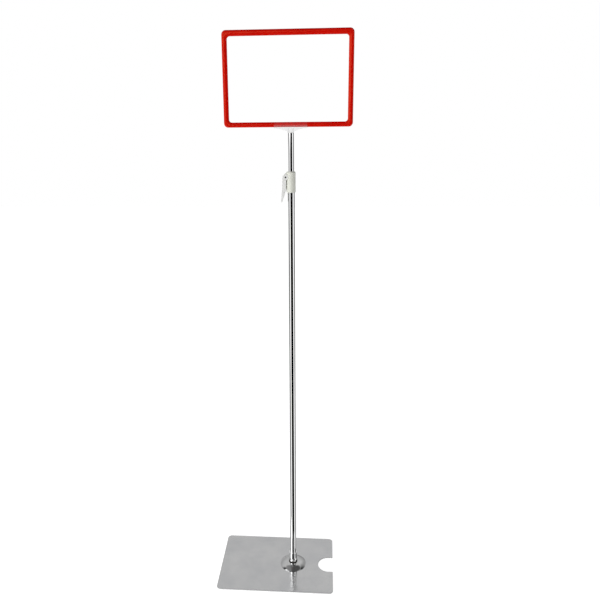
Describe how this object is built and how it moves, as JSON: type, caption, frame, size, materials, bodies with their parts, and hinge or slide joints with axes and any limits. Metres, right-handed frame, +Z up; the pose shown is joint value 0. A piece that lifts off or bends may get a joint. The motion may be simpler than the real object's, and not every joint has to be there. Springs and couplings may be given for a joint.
{
  "type": "sign stand",
  "caption": "Free-standing sign stand: notched flat steel foot, telescopic chromed pole with cam clamp, and a red landscape poster frame in a clear holder.",
  "frame": {"origin": "on the floor, on the pole's axis, at the underside of the foot plate", "axes": "+Z up along the pole; +X towards the notched end of the foot plate and away from the clamp's lever; the frame's face looks along -Y (and +Y)"},
  "size_m": [0.3547, 0.222, 1.451],
  "materials": {
    "brushed_steel": "fine brushed zinc-plated sheet",
    "chrome": "bright chrome plate",
    "zinc_steel": "zinc plated",
    "black_steel": "black oxide",
    "black_rubber": "matte black rubber",
    "clamp_plastic": "satin moulded, warm light grey",
    "lever_plastic": "satin moulded, off-white",
    "bush_plastic": "natural acetal",
    "clear_plastic": "clear moulded polycarbonate",
    "red_plastic": "glossy translucent-looking red moulding"
  },
  "bodies": {
    "stand": {"base_plate": "brushed_steel", "base_stud": "zinc_steel", "lock_washer": "zinc_steel", "foot_insert": "zinc_steel", "rosette": "chrome", "ferrule_seal": "black_rubber", "foot_ferrule": "chrome", "outer_tube": "chrome", "clamp_body": "clamp_plastic", "collar_rivet": "zinc_steel", "lever_pin": "black_steel"},
    "lever": {"clamp_lever": "lever_plastic"},
    "shoe": {"brake_shoe": "lever_plastic", "brake_lining": "black_rubber"},
    "mast": {"inner_tube": "chrome", "guide_bush": "bush_plastic", "top_bush": "bush_plastic"},
    "head": {"frame_holder": "clear_plastic"},
    "sign": {"poster_frame": "red_plastic"}
  },
  "joints": [
    {"name": "lever_swing", "type": "hinge", "parent": "stand", "child": "lever", "pos_m": [-0.013, 0, 1.111], "axis": [0, 1, 0], "range_deg": [0, 90]},
    {"name": "shoe_slide", "type": "slide", "parent": "stand", "child": "shoe", "axis": [-1, 0, 0], "range_m": [0, 0.00036]},
    {"name": "mast_slide", "type": "slide", "parent": "stand", "child": "mast", "axis": [0, 0, 1], "range_m": [-0.088, 0.75]},
    {"name": "head_swivel", "type": "hinge", "parent": "mast", "child": "head", "pos_m": [0, 0, 1.2173], "axis": [0, 0, 1], "continuous": true},
    {"name": "frame_shift", "type": "slide", "parent": "head", "child": "sign", "axis": [1, 0, 0], "range_m": [-0.054, 0.066]}
  ],
  "couplings": [
    {"joint": "shoe_slide", "follows": "lever_swing", "m_per_rad": 0.00022282}
  ]
}
